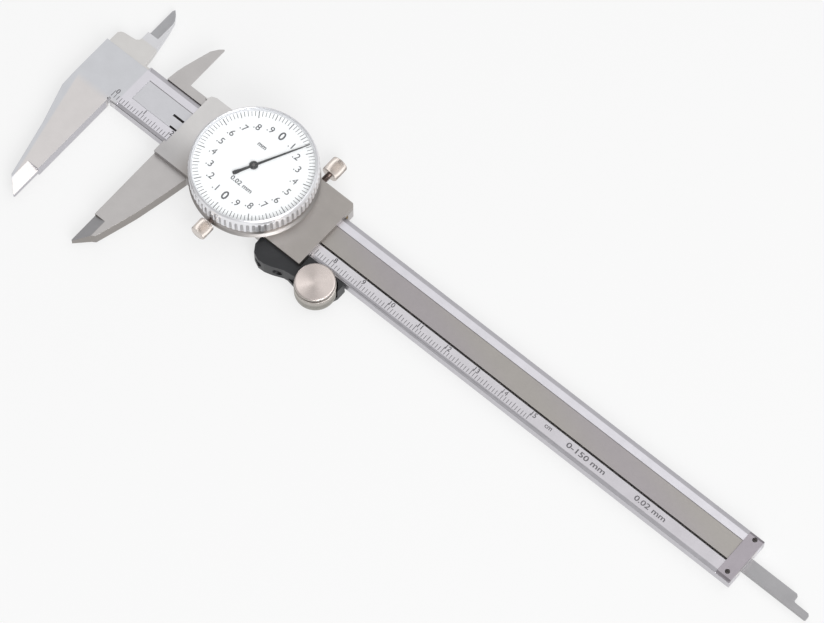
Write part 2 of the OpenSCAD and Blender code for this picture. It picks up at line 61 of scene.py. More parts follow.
# ---------------------------------------------------------------- node helpers
class Tree:
    def __init__(self, tree):
        self.t = tree

    def n(self, kind, props=None, **inputs):
        node = self.t.nodes.new(kind)
        for k, v in (props or {}).items():
            setattr(node, k, v)
        for k, v in inputs.items():
            self.put(node, k, v)
        return node

    def put(self, node, key, v):
        if isinstance(key, str) and key.startswith("i") and key[1:].isdigit():
            s = node.inputs[int(key[1:])]
        else:
            s = node.inputs[key.replace("_", " ")]
        if isinstance(v, bpy.types.NodeSocket):
            self.t.links.new(v, s)
        else:
            s.default_value = v

    def m(self, op, a, b=0.0, c=None, clamp=False):
        node = self.n("ShaderNodeMath", {"operation": op, "use_clamp": clamp})
        self.put(node, "i0", a)
        self.put(node, "i1", b)
        if c is not None:
            self.put(node, "i2", c)
        return node.outputs[0]

    def ramp(self, v, a, b, lo=0.0, hi=1.0, smooth=False):
        node = self.n("ShaderNodeMapRange", {"interpolation_type": "SMOOTHSTEP" if smooth else "LINEAR"})
        self.put(node, "i0", v)
        for i, x in enumerate((a, b, lo, hi)):
            self.put(node, "i%d" % (i + 1), x)
        return node.outputs[0]

    def mix(self, f, a, b):
        node = self.n("ShaderNodeMix", {"data_type": "RGBA", "clamp_factor": True})
        self.put(node, "i0", f)
        for i, c in ((6, a), (7, b)):
            if not isinstance(c, bpy.types.NodeSocket) and len(c) == 3:
                c = (*c, 1.0)
            self.put(node, "i%d" % i, c)
        return node.outputs[2]

    def coords(self):
        """Object coordinates in millimetres: (vector, x, y, z)."""
        tc = self.n("ShaderNodeTexCoord")
        vm = self.n("ShaderNodeVectorMath", {"operation": "SCALE"})
        self.put(vm, "i0", tc.outputs["Object"])
        vm.inputs["Scale"].default_value = 1000.0
        sep = self.n("ShaderNodeSeparateXYZ")
        self.put(sep, "i0", vm.outputs[0])
        return vm.outputs[0], sep.outputs[0], sep.outputs[1], sep.outputs[2]

    def noise(self, vec, scale, detail=2.0, rough=0.5, stretch=(1, 1, 1)):
        mp = self.n("ShaderNodeMapping")
        self.put(mp, "i0", vec)
        mp.inputs["Scale"].default_value = stretch
        nz = self.n("ShaderNodeTexNoise")
        self.put(nz, "Vector", mp.outputs[0])
        nz.inputs["Scale"].default_value = scale
        nz.inputs["Detail"].default_value = detail
        nz.inputs["Roughness"].default_value = rough
        return nz.outputs[0]


def new_mat(name):
    mat = bpy.data.materials.new(name)
    mat.use_nodes = True
    t = Tree(mat.node_tree)
    bsdf = mat.node_tree.nodes["Principled BSDF"]
    return mat, t, bsdf


def srgb(v):
    v = v / 255.0
    return v / 12.92 if v <= 0.04045 else ((v + 0.055) / 1.055) ** 2.4


def rgb(r, g=None, b=None):
    g = r if g is None else g
    b = r if b is None else b
    return (srgb(r), srgb(g), srgb(b))


def scaled(c, k):
    return tuple(x * k for x in c)


def metal(name, col, rough=0.34, grain="x", fine=0.03, blotch=0.03, metallic=1.0, bump=0.02,
          regions=None, aniso=0.0, rvar=0.06, edges=None):
    """Ground or brushed steel: long fine grain, faint blotches, roughness that follows both."""
    mat, t, b = new_mat(name)
    vec, x, y, z = t.coords()
    stretch = {"x": (0.06, 1, 1), "y": (1, 0.06, 1), "z": (1, 1, 0.06), "n": (1, 1, 1), "d": (1, 1, 1)}[grain]
    g1 = t.noise(vec, 9.0, 3.0, 0.6, stretch)
    g2 = t.noise(vec, 0.22, 2.0, 0.5, (1, 1, 1))
    base = (*col, 1.0)
    if regions:
        for mask_fn, c in regions:
            mask = mask_fn(t, x, y, z)
            base = t.mix(mask, base, c)
    if edges:
        # painted shade: bevelled edges and steep side walls are darkened, told apart by how far the surface leans
        geo = t.n("ShaderNodeNewGeometry")
        sp = t.n("ShaderNodeSeparateXYZ")
        t.put(sp, "i0", geo.outputs["Normal"])
        nz_ = t.m("ABSOLUTE", sp.outputs[2])
        where, edge_shade_k, wall_shade_k = edges
        here = where(t, x, y, z)
        lean = t.m("MULTIPLY", t.m("MULTIPLY", t.ramp(nz_, 0.2, 0.35), t.ramp(nz_, 0.93, 0.86)), here)
        base = t.mix(lean, base, scaled(col, edge_shade_k))
        wall = t.m("MULTIPLY", t.ramp(nz_, 0.3, 0.2), here)
        base = t.mix(wall, base, scaled(col, wall_shade_k))
    k1 = t.ramp(g1, 0.25, 0.75, 1.0 - fine, 1.0 + fine)
    k2 = t.ramp(g2, 0.3, 0.7, 1.0 - blotch, 1.0 + blotch)
    k = t.m("MULTIPLY", k1, k2)
    vm = t.n("ShaderNodeVectorMath", {"operation": "SCALE"})
    t.put(vm, "i0", base if isinstance(base, bpy.types.NodeSocket) else base[:3])
    t.put(vm, "Scale", k)
    t.put(b, "Base_Color", vm.outputs[0])
    r1 = t.ramp(g1, 0.25, 0.75, rough - rvar * 0.5, rough + rvar * 0.5)
    r2 = t.ramp(g2, 0.3, 0.7, -rvar * 0.4, rvar * 0.4)
    t.put(b, "Roughness", t.m("ADD", r1, r2, clamp=True))
    b.inputs["Metallic"].default_value = metallic
    if aniso:
        b.inputs["Anisotropic"].default_value = aniso
        tan = t.n("ShaderNodeTangent", {"direction_type": "RADIAL", "axis": "Z"})
        t.put(b, "Tangent", tan.outputs[0])
    if bump:
        bp = t.n("ShaderNodeBump")
        bp.inputs["Strength"].default_value = 0.35
        bp.inputs["Distance"].default_value = bump * MM
        t.put(bp, "Height", g1)
        t.put(b, "Normal", bp.outputs[0])
    return mat


# ---------------------------------------------------------------- materials
def in_head(t, x, y, z):
    left = t.ramp(x, 2.6, 2.2)
    return t.m("MAXIMUM", left, t.m("MAXIMUM", t.ramp(y, -0.05, -0.15), t.ramp(y, 15.25, 15.35)))


def outside_jaw(t, x, y, z):
    edge = t.m("ADD", t.m("MULTIPLY", y, -0.2265), -12.67)
    inner = t.ramp(t.m("SUBTRACT", x, edge), 0.9, 1.7, smooth=True)
    return t.m("MULTIPLY", inner, t.ramp(y, 1.5, -1.5, smooth=True))


def recess_top(t, x, y, z):
    return t.m("MULTIPLY", t.ramp(y, 13.95, 14.05), t.ramp(x, 2.6, 2.4))


def scale_band(t, x, y, z):
    return t.m("MULTIPLY", t.m("MULTIPLY", t.ramp(y, 0.95, 1.1), t.ramp(y, 4.6, 4.4)), t.ramp(x, 16.0, 30.0, smooth=True))


def low_inside_jaw(t, x, y, z):
    return t.ramp(y, 20.6, 21.2)


# painted shade: the beam's upper and lower chamfers are painted darker than the flat front
def upper_chamfer(t, x, y, z):
    m1 = t.m("MULTIPLY", t.ramp(y, 13.8, 13.9), t.ramp(x, 2.4, 2.6))
    m2 = t.m("MULTIPLY", t.ramp(y, 1.1, 1.0), t.ramp(x, 2.4, 2.6))
    return t.m("MAXIMUM", m1, m2)


def slot_dark(t, x, y, z):
    """Inside of the cut slot and the rack pocket, painted light to lift the shade that falls there."""
    a = t.m("MULTIPLY", t.ramp(z, -0.15, -0.4), t.ramp(y, 2.9, 3.1))
    return t.m("MULTIPLY", t.m("MULTIPLY", a, t.ramp(y, 12.0, 11.8)), t.ramp(z, -2.2, -1.9))


M = {}
M["beam_steel"] = metal("beam_steel", rgb(219, 217, 223), rough=0.36, grain="x", fine=0.025, blotch=0.025,
                        regions=[(in_head, rgb(206, 207, 211)), (outside_jaw, rgb(216, 212, 211)), (recess_top, rgb(213, 211, 209)), (low_inside_jaw, rgb(216, 216, 219)),
                                 (scale_band, rgb(214, 212, 216)),
                                 (lambda t, x, y, z: t.m("MULTIPLY", scale_band(t, x, y, z), t.ramp(x, 60.0, 190.0)), rgb(201, 198, 203)),
                                 (upper_chamfer, rgb(196, 194, 199)), (slot_dark, rgb(222, 219, 217))],
                        # painted shade: the fixed jaw's bevelled edges and steep side walls are darkened
                        edges=(lambda t, x, y, z: t.ramp(y, -0.6, -1.2), 0.62, 0.74))
M["cover_steel"] = metal("cover_steel", rgb(166, 161, 163), rough=0.46, grain="x", fine=0.05, blotch=0.02, rvar=0.08,
                         regions=[(lambda t, x, y, z: t.ramp(t.m("SINE", t.m("ADD", t.m("MULTIPLY", x, 0.085), t.m("MULTIPLY", y, 0.25))), -1.0, 1.0), rgb(168, 164, 160)),
                                  (lambda t, x, y, z: t.ramp(x, 27.0, 20.0, smooth=True), rgb(208, 208, 212)),
                                  # painted shade: a dark line along the cover's upper edge, y 11.5 to 11.62 mm
                                  (lambda t, x, y, z: t.ramp(y, 11.5, 11.62), rgb(128, 124, 125))])
M["end_steel"] = metal("end_steel", rgb(168, 162, 168), rough=0.33, grain="y", fine=0.03, blotch=0.03)
M["slider_steel"] = metal(
    "slider_steel", rgb(167, 162, 158), rough=0.40, grain="x", fine=0.035, blotch=0.03,
    regions=[(lambda t, x, y, z: t.m("MULTIPLY", t.ramp(z, 0.04, 0.0), t.ramp(y, -3.9, -4.1)), rgb(191, 188, 187)),
             (lambda t, x, y, z: t.m("MULTIPLY", t.ramp(z, 0.04, 0.0), t.ramp(y, 15.2, 15.4)), rgb(191, 188, 187)),
             # painted highlight: the left part of the slider plate is lightened, most strongly between y -3 and 9 mm,
             # standing in for a reflection band
             (lambda t, x, y, z: t.m("MULTIPLY", t.ramp(x, 37.0, 24.0, smooth=True), t.ramp(z, 0.1, 0.3)), rgb(186, 184, 184)),
             (lambda t, x, y, z: t.m("MULTIPLY", t.m("MULTIPLY", t.ramp(x, 40.0, 26.0, smooth=True), t.ramp(z, 0.1, 0.3)), t.ramp(y, -3.0, 9.0, smooth=True)), rgb(216, 214, 213)),
             # painted shade: the moving jaw's thinned tip slope below y -28.5 mm is darker than the rest of the jaw
             (lambda t, x, y, z: t.m("MULTIPLY", t.ramp(y, -28.4, -28.7), t.m("MULTIPLY", t.ramp(z, -0.02, -0.08), t.ramp(z, -1.6, -1.4))), rgb(176, 175, 177))],
    # painted shade: the moving jaw's bevelled edges and steep side walls are darkened
    edges=(lambda t, x, y, z: t.m("MULTIPLY", t.ramp(y, -4.3, -5.0), t.ramp(z, 0.1, 0.05)), 0.62, 0.82))
M["rod_steel"] = metal("rod_steel", rgb(162, 161, 163), rough=0.36, grain="x", fine=0.04, blotch=0.03)
M["dark_steel"] = metal("dark_steel", rgb(116, 112, 112), rough=0.38, grain="n", fine=0.06, blotch=0.05)
M["screw_dark"] = metal("screw_dark", rgb(78, 74, 74), rough=0.42, grain="n", fine=0.06, blotch=0.06)
M["rack_steel"] = metal("rack_steel", rgb(214, 211, 209), rough=0.5, grain="x", fine=0.06, blotch=0.05,
                        # painted shade: the rack left of x 22.4 mm and above y 7 mm is painted near black, standing
                        # for the dark slot there
                        regions=[(lambda t, x, y, z: t.m("MULTIPLY", t.ramp(x, 22.6, 22.2), t.ramp(y, 6.8, 7.2)), rgb(62, 60, 60))])


# painted shade: the serrated side of the bezel, z 4.75 to 8.55 mm, is painted darker than its top
def bezel_groove(t, x, y, z):
    r = t.m("SQRT", t.m("ADD", t.m("MULTIPLY", x, x), t.m("MULTIPLY", y, y)))
    return t.m("MULTIPLY", t.m("MULTIPLY", t.ramp(r, 18.06, 17.86), t.ramp(r, 17.0, 17.2)), t.m("MULTIPLY", t.ramp(z, 4.75, 5.0), t.ramp(z, 8.55, 8.3)))


M["chrome_ring"] = metal("chrome_ring", rgb(232, 232, 235), rough=0.31, grain="n", fine=0.015, blotch=0.015, rvar=0.05, metallic=0.75,
                         regions=[(bezel_groove, rgb(182, 181, 183))])
M["case_chrome"] = metal("case_chrome", rgb(178, 174, 172), rough=0.42, grain="n", fine=0.02, blotch=0.03, rvar=0.05)
M["brass"] = metal("brass", (0.72, 0.50, 0.20), rough=0.30, grain="n", fine=0.04, blotch=0.05, aniso=0.4)
M["blue_spring"] = metal("blue_spring", (0.10, 0.13, 0.30), rough=0.28, grain="n", fine=0.05, blotch=0.08)
M["nickel"] = metal("nickel", rgb(209, 201, 195), rough=0.27, grain="n", fine=0.03, blotch=0.03)
# painted shade: a darker copy of the nickel, used for the clamp screw threads
M["nickel_shaded"] = metal("nickel_shaded", rgb(128, 116, 112), rough=0.32, grain="n", fine=0.05, blotch=0.05)


def turned():
    """Roller face: concentric tool marks, with highlight fans painted into the colour and painted shade on the rim,
    its lower part and the groove.
    """
    mat, t, b = new_mat("turned_nickel")
    vec, x, y, z = t.coords()
    r = t.m("SQRT", t.m("ADD", t.m("MULTIPLY", x, x), t.m("MULTIPLY", y, y)))
    ring = t.m("SINE", t.m("MULTIPLY", r, 38.0))
    comb = t.n("ShaderNodeCombineXYZ")
    t.put(comb, "i0", t.m("MULTIPLY", r, 5.0))
    nz = t.n("ShaderNodeTexNoise")
    t.put(nz, "Vector", comb.outputs[0])
    nz.inputs["Scale"].default_value = 3.0
    nz.inputs["Detail"].default_value = 3.0
    col = t.mix(t.ramp(nz.outputs[0], 0.3, 0.7), (*rgb(203, 193, 189), 1), (*rgb(217, 207, 202), 1))
    # painted shade: the knurled rim is painted darker than the face
    side = t.m("MAXIMUM", t.ramp(z, 1.26, 1.18), t.ramp(r, 5.6, 5.66))
    col = t.mix(side, col, (*rgb(182, 177, 171), 1))
    # painted shade: the rim darker towards the bottom
    low = t.ramp(z, 0.6, -1.2, smooth=True)
    col = t.mix(t.m("MULTIPLY", low, t.ramp(r, 5.0, 5.4)), col, (*rgb(150, 147, 140), 1))
    # painted shade: the groove under the face is painted near black
    groove = t.m("MULTIPLY", t.m("MULTIPLY", t.ramp(z, 1.2, 1.28), t.ramp(z, 2.14, 2.06)), t.ramp(r, 3.0, 4.0))
    col = t.mix(groove, col, (*rgb(84, 78, 75), 1))
    # painted highlight: fans of brighter colour about the centre stand in for the studio light that the concentric
    # marks fan out
    ang = t.m("ARCTAN2", y, x)
    fan = t.m("COSINE", t.m("MULTIPLY", t.m("SUBTRACT", ang, 0.55), 2.0))
    fan2 = t.m("COSINE", t.m("MULTIPLY", t.m("SUBTRACT", ang, 1.9), 3.0))
    f = t.m("ADD", t.m("MULTIPLY", fan, 0.17), t.m("MULTIPLY", fan2, 0.09))
    f = t.m("MULTIPLY", f, t.m("MULTIPLY", t.ramp(z, 2.9, 2.95), t.ramp(r, 0.3, 2.0)))
    vs = t.n("ShaderNodeVectorMath", {"operation": "SCALE"})
    t.put(vs, "i0", col)
    t.put(vs, "Scale", t.m("ADD", f, 1.0))
    t.put(b, "Base_Color", vs.outputs[0])
    t.put(b, "Roughness", t.ramp(nz.outputs[0], 0.3, 0.7, 0.24, 0.32))
    b.inputs["Metallic"].default_value = 1.0
    b.inputs["Anisotropic"].default_value = 0.85
    tan = t.n("ShaderNodeTangent", {"direction_type": "RADIAL", "axis": "Z"})
    t.put(b, "Tangent", tan.outputs[0])
    bp = t.n("ShaderNodeBump")
    bp.inputs["Strength"].default_value = 0.25
    bp.inputs["Distance"].default_value = 0.01 * MM
    t.put(bp, "Height", t.m("ADD", ring, nz.outputs[0]))
    t.put(b, "Normal", bp.outputs[0])
    return mat


M["turned_nickel"] = turned()


def paint(name, col, rough, var=0.04, bump=0.004, scale=6.0, rvar=0.05, spec=0.5):
    mat, t, b = new_mat(name)
    vec, x, y, z = t.coords()
    nz = t.noise(vec, scale, 3.0)
    big = t.noise(vec, scale * 0.06, 2.0)
    k = t.m("MULTIPLY", t.ramp(nz, 0.3, 0.7, 1 - var, 1 + var), t.ramp(big, 0.3, 0.7, 1 - var, 1 + var))
    vm = t.n("ShaderNodeVectorMath", {"operation": "SCALE"})
    vm.inputs[0].default_value = col
    t.put(vm, "Scale", k)
    t.put(b, "Base_Color", vm.outputs[0])
    t.put(b, "Roughness", t.ramp(nz, 0.3, 0.7, rough - rvar, rough + rvar))
    b.inputs["Specular IOR Level"].default_value = spec
    if bump:
        bp = t.n("ShaderNodeBump")
        bp.inputs["Strength"].default_value = 0.3
        bp.inputs["Distance"].default_value = bump * MM
        t.put(bp, "Height", nz)
        t.put(b, "Normal", bp.outputs[0])
    return mat


M["white_dial"] = paint("white_dial", rgb(247, 247, 248), 0.5, var=0.006, bump=0.001)
M["black_holder"] = paint("black_holder", rgb(26, 27, 30), 0.42, var=0.08, bump=0.01, scale=7.0)
M["black_needle"] = paint("black_needle", rgb(38, 38, 40), 0.38, var=0.08, bump=0.002, scale=9.0)
M["dial_ink"] = paint("dial_ink", rgb(84, 84, 88), 0.55, var=0.05, bump=0.0, scale=9.0)
M["scale_ink"] = paint("scale_ink", rgb(92, 90, 94), 0.55, var=0.12, bump=0.0, scale=2.0)


def pane():
    """Thin clear crystal: see-through, with a Fresnel mirror on top."""
    mat, t, b = new_mat("clear_crystal")
    vec, x, y, z = t.coords()
    nz = t.noise(vec, 0.3, 2.0)
    out = mat.node_tree.nodes["Material Output"]
    tr = t.n("ShaderNodeBsdfTransparent")
    tr.inputs[0].default_value = (0.985, 0.99, 0.99, 1)
    gl = t.n("ShaderNodeBsdfGlossy")
    gl.inputs["Color"].default_value = (1, 1, 1, 1)
    t.put(gl, "Roughness", t.ramp(nz, 0.3, 0.7, 0.03, 0.06))
    lw = t.n("ShaderNodeLayerWeight")
    lw.inputs["Blend"].default_value = 0.5
    fac = t.m("ADD", t.m("MULTIPLY", t.m("POWER", lw.outputs["Facing"], 4.0), 0.55), 0.022)
    mx = t.n("ShaderNodeMixShader")
    t.put(mx, "i0", fac)
    t.put(mx, "i1", tr.outputs[0])
    t.put(mx, "i2", gl.outputs[0])
    t.put(out, "Surface", mx.outputs[0])
    mat.node_tree.nodes.remove(b)
    return mat


M["clear_crystal"] = pane()


# ---------------------------------------------------------------- mesh helpers
def obj_from_bm(name, bm, mat, smooth_angle=30.0, loc=None):
    bmesh.ops.recalc_face_normals(bm, faces=bm.faces)
    for f in bm.faces:
        f.smooth = True
    lim = math.radians(smooth_angle)
    for ed in bm.edges:
        if len(ed.link_faces) == 2:
            ed.smooth = ed.calc_face_angle(0.0) < lim
        else:
            ed.smooth = False
    me = bpy.data.meshes.new(name)
    bm.to_mesh(me)
    bm.free()
    me.materials.append(mat)
    o = bpy.data.objects.new(name, me)
    scene.collection.objects.link(o)
    if loc is not None:
        o.matrix_world = loc
    return o


def revolve(name, profile, n, mat, place, rfun=None, smooth_angle=30.0, closed=False):
    """Profile is (r, z) in mm about local Z; rfun(theta, row, r, z) may change the radius."""
    bm = bmesh.new()
    rings = []
    for k, (r, z) in enumerate(profile):
        if r <= 1e-9:
            rings.append([bm.verts.new((0, 0, z * MM))])
            continue
        ring = []
        for i in range(n):
            a = 2 * math.pi * i / n
            rr = rfun(a, k, r, z) if rfun else r
            ring.append(bm.verts.new((rr * math.cos(a) * MM, rr * math.sin(a) * MM, z * MM)))
        rings.append(ring)
    pairs = list(zip(rings[:-1], rings[1:]))
    if closed:
        pairs.append((rings[-1], rings[0]))
    for a, b in pairs:
        if len(a) == 1 and len(b) == 1:
            continue
        for i in range(n):
            j = (i + 1) % n
            if len(a) == 1:
                bm.faces.new((a[0], b[i], b[j]))
            elif len(b) == 1:
                bm.faces.new((a[i], a[j], b[0]))
            else:
                bm.faces.new((a[i], a[j], b[j], b[i]))
    return obj_from_bm(name, bm, mat, smooth_angle, place)


def add_box(bm, x0, x1, y0, y1, z0, z1, rot=0.0, cx=0.0, cy=0.0):
    c, s = math.cos(rot), math.sin(rot)
    vs = []
    for z in (z0, z1):
        for x, y in ((x0, y0), (x1, y0), (x1, y1), (x0, y1)):
            vs.append(bm.verts.new(((cx + x * c - y * s) * MM, (cy + x * s + y * c) * MM, z * MM)))
    for q in ((0, 3, 2, 1), (4, 5, 6, 7), (0, 1, 5, 4), (1, 2, 6, 5), (2, 3, 7, 6), (3, 0, 4, 7)):
        bm.faces.new([vs[i] for i in q])


def text_into(bm, s, size, cx, cy, z, rot=0.0, thick=0.012, bold=0.0, stretch=1.0):
    """Characters as shallow solids centred on (cx, cy) mm, reading along +X before rot."""
    if "4" in s and bold > 0:
        # emboldening closes the counter of a 4, so it keeps its own weight
        bold = 0.0
    cu = bpy.data.curves.new("txt", "FONT")
    cu.body = s
    cu.size = size
    cu.align_x = "CENTER"
    cu.align_y = "CENTER"
    cu.extrude = thick / 2
    cu.offset = bold
    cu.resolution_u = 3
    o = bpy.data.objects.new("txt", cu)
    scene.collection.objects.link(o)
    dg = bpy.context.evaluated_depsgraph_get()
    me = bpy.data.meshes.new_from_object(o.evaluated_get(dg))
    xs = [v.co.x for v in me.vertices]
    ys = [v.co.y for v in me.vertices]
    mx, my = (min(xs) + max(xs)) / 2, (min(ys) + max(ys)) / 2
    c, sn = math.cos(rot), math.sin(rot)
    vmap = []
    for v in me.vertices:
        x, y = (v.co.x - mx) * stretch, v.co.y - my
        vmap.append(bm.verts.new(((cx + x * c - y * sn) * MM, (cy + x * sn + y * c) * MM, (z + v.co.z) * MM)))
    for p in me.polygons:
        try:
            bm.faces.new([vmap[i] for i in p.vertices])
        except ValueError:
            pass
    bpy.data.objects.remove(o)
    bpy.data.meshes.remove(me)
    bpy.data.curves.remove(cu)


# ---------------------------------------------------------------- edge finishing of the carried-over nodes
def smooth_group(limit):
    g = bpy.data.node_groups.new("smooth_by_angle", "GeometryNodeTree")
    g.interface.new_socket("Geometry", in_out="INPUT", socket_type="NodeSocketGeometry")
    g.interface.new_socket("Geometry", in_out="OUTPUT", socket_type="NodeSocketGeometry")
    a = g.nodes.new("NodeGroupInput")
    z = g.nodes.new("NodeGroupOutput")
    s1 = g.nodes.new("GeometryNodeSetShadeSmooth")
    s1.domain = "FACE"
    s1.inputs["Shade Smooth"].default_value = True
    s2 = g.nodes.new("GeometryNodeSetShadeSmooth")
    s2.domain = "EDGE"
    ang = g.nodes.new("GeometryNodeInputMeshEdgeAngle")
    cmp_ = g.nodes.new("FunctionNodeCompare")
    cmp_.data_type = "FLOAT"
    cmp_.operation = "LESS_THAN"
    cmp_.inputs[1].default_value = math.radians(limit)
    L = g.links.new
    L(a.outputs[0], s1.inputs["Geometry"])
    L(s1.outputs[0], s2.inputs["Geometry"])
    L(ang.outputs["Unsigned Angle"], cmp_.inputs[0])
    L(cmp_.outputs[0], s2.inputs["Shade Smooth"])
    L(s2.outputs[0], z.inputs[0])
    return g


SMOOTH = smooth_group(24)
SMOOTH_WIDE = smooth_group(46)


def finish_node(name, mat, bevel=0.08, seg=2, clamp=True):
    o = NODES[name]
    me = o.data
    if "custom_normal" in me.attributes:
        me.attributes.remove(me.attributes["custom_normal"])
    me.materials.clear()
    me.materials.append(mat)
    w = o.modifiers.new("weld", "WELD")
    w.merge_threshold = 2e-6
    d = o.modifiers.new("planar", "DECIMATE")
    d.decimate_type = "DISSOLVE"
    d.angle_limit = math.radians(0.4)
    if bevel:
        b = o.modifiers.new("edges", "BEVEL")
        b.width = bevel * MM
        b.segments = seg
        b.limit_method = "ANGLE"
        b.angle_limit = math.radians(13)
        b.use_clamp_overlap = clamp
        b.harden_normals = False
    s = o.modifiers.new("smooth", "NODES")
    s.node_group = SMOOTH_WIDE if bevel else SMOOTH
    if bevel:
        wn = o.modifiers.new("flats", "WEIGHTED_NORMAL")
        wn.mode = "FACE_AREA"
        wn.weight = 50
        wn.keep_sharp = True
    return o


finish_node("main_beam", M["beam_steel"], 0.07, 2, False)
finish_node("gear_rack", M["rack_steel"], 0)
finish_node("cover_strip", M["cover_steel"], 0.05)
finish_node("rack_pins", M["rack_steel"], 0.05)
finish_node("end_clamp", M["end_steel"], 0.07)
finish_node("end_clamp_screws", M["screw_dark"], 0.03)
finish_node("slider_body", M["slider_steel"], 0.06, 2, False)
finish_node("back_plate", M["slider_steel"], 0.15)
finish_node("back_plate_screws", M["dark_steel"], 0.03)
finish_node("gib_strip", M["brass"], 0.05)
finish_node("gib_screws", M["dark_steel"], 0.04)
finish_node("depth_rod", M["rod_steel"], 0.08)
finish_node("rod_screws", M["dark_steel"], 0.03)
finish_node("dial_case", M["case_chrome"], 0.06)
finish_node("dial_case_screws", M["dark_steel"], 0.03)
finish_node("bezel_snap_ring", M["dark_steel"], 0.05)
finish_node("movement_plate", M["brass"], 0.08)
finish_node("movement_pillars", M["brass"], 0.06)
finish_node("movement_screws", M["dark_steel"], 0.03)
finish_node("hairspring", M["blue_spring"], 0)
finish_node("thumb_holder", M["black_holder"], 0.22, 3)
finish_node("thumb_holder_screws", M["dark_steel"], 0.03)
finish_node("roller_axle", M["dark_steel"], 0.05)
finish_node("dial_face", M["white_dial"], 0.04)
finish_node("pointer_arbor", M["dark_steel"], 0)
finish_node("rack_pinion", M["dark_steel"], 0)
finish_node("gear_wheel", M["brass"], 0)
finish_node("takeup_arbor", M["dark_steel"], 0)
finish_node("takeup_wheel", M["brass"], 0)

# ---------------------------------------------------------------- beam scale
DC = (47.8, 7.5)
bm = bmesh.new()
for i in range(0, 151):
    if i % 10 == 0:
        top, w = 3.3, 0.19
    elif i % 5 == 0:
        top, w = 3.0, 0.18
    else:
        top, w = 2.6, 0.17
    add_box(bm, i - w / 2, i + w / 2, 1.2, top, -0.01, 0.012)
ticks = obj_from_bm("beam_scale_ticks", bm, M["scale_ink"])
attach(ticks, "beam")

bm = bmesh.new()
for i in range(0, 16):
    text_into(bm, str(i), 2.1, i * 10 + (0.75 if i < 10 else 0.95), 3.5, 0.002, bold=0.035)
text_into(bm, "cm", 2.0, 156.2, 3.1, 0.002, bold=0.03)
text_into(bm, "0-150 mm", 2.2, 169.5, 2.8, 0.002, bold=0.035, stretch=1.45)
text_into(bm, "0.02 mm", 2.2, 191.5, 2.8, 0.002, bold=0.035, stretch=1.35)
nums = obj_from_bm("beam_scale_numerals", bm, M["scale_ink"])
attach(nums, "beam")

# ---------------------------------------------------------------- dial markings
bm = bmesh.new()
for i in range(100):
    a = -2 * math.pi * i / 100
    if i % 10 == 0:
        r0, w = 14.6, 0.24
    elif i % 5 == 0:
        r0, w = 14.9, 0.2
    else:
        r0, w = 15.2, 0.16
    add_box(bm, -w / 2, w / 2, r0, 16.75, 8.99, 9.012, rot=a, cx=DC[0], cy=DC[1])
dt = obj_from_bm("dial_ticks", bm, M["dial_ink"])
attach(dt, "bezel")

bm = bmesh.new()
for k in range(20):
    a = -2 * math.pi * k / 20
    big = k % 10 == 0
    r = 11.8 if big else 12.0
    text_into(bm, "0" if big else "." + str(k % 10), 3.7 if big else 2.85, DC[0] - r * math.sin(a), DC[1] + r * math.cos(a), 9.004, bold=0.07 if big else 0.02)
dn = obj_from_bm("dial_numerals", bm, M["dial_ink"])
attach(dn, "bezel")

bm = bmesh.new()
text_into(bm, "0.02 mm", 1.9, DC[0] + 1.2, DC[1] - 6.4, 9.004, bold=0.04, stretch=1.1)
text_into(bm, "mm", 1.9, DC[0] - 2.2, DC[1] + 5.9, 9.004, bold=0.05)
dcap = obj_from_bm("dial_caption", bm, M["dial_ink"])
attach(dcap, "bezel")

# ---------------------------------------------------------------- bezel with a serrated edge
BT = 10.2
prof = [(15.95, 4.5), (16.0, 3.05), (16.4, 2.98), (16.8, 3.05), (16.8, 4.45), (16.95, 4.5), (17.75, 4.5),
        (18.0, 4.6), (18.12, 4.8), (18.15, 5.0), (18.15, 6.0), (18.15, 7.2), (18.15, 8.2), (18.1, 8.45), (17.95, 8.62),
        (17.87, 8.8), (17.87, 9.3), (17.86, 9.55), (17.78, 9.8), (17.6, 10.0), (17.45, 10.13), (17.3, 10.2), (17.26, 10.16),
        (17.25, 9.7), (16.95, 9.68), (16.95, 9.05), (16.95, 8.6), (15.95, 8.6), (15.95, 7.4), (16.35, 7.38), (16.35, 6.5), (15.95, 6.48)]
SER = 70


def bezel_r(a, k, r, z):
    if not (7 <= k <= 13):
        return r
    f = (a / (2 * math.pi) * SER) % 1.0
    d = abs(f - 0.5) * 2            # 0 in the middle of the groove, 1 on the land
    g = max(0.0, 1.0 - max(0.0, (d - 0.30) / 0.22))
    g = g * g * (3 - 2 * g)
    depth = 0.36 if 8 <= k <= 12 else 0.2
    return r - depth * g


bez = revolve("bezel", prof, SER * 14, M["chrome_ring"], Matrix.Translation(Vector((DC[0], DC[1], 0)) * MM), bezel_r, 38, closed=True)
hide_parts("bezel_ring")
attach(bez, "bezel")

# ---------------------------------------------------------------- crystal, slightly domed
prof = [(0, 9.7), (6, 9.7), (12, 9.7), (17.0, 9.7), (17.2, 9.74), (17.22, 9.9), (17.18, 10.14), (17.0, 10.22),
        (15, 10.27), (12, 10.3), (8, 10.33), (4, 10.35), (0, 10.355)]
cry = revolve("crystal_lens", prof, 128, M["clear_crystal"], Matrix.Translation(Vector((DC[0], DC[1], 0)) * MM), None, 30)
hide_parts("crystal")
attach(cry, "bezel")

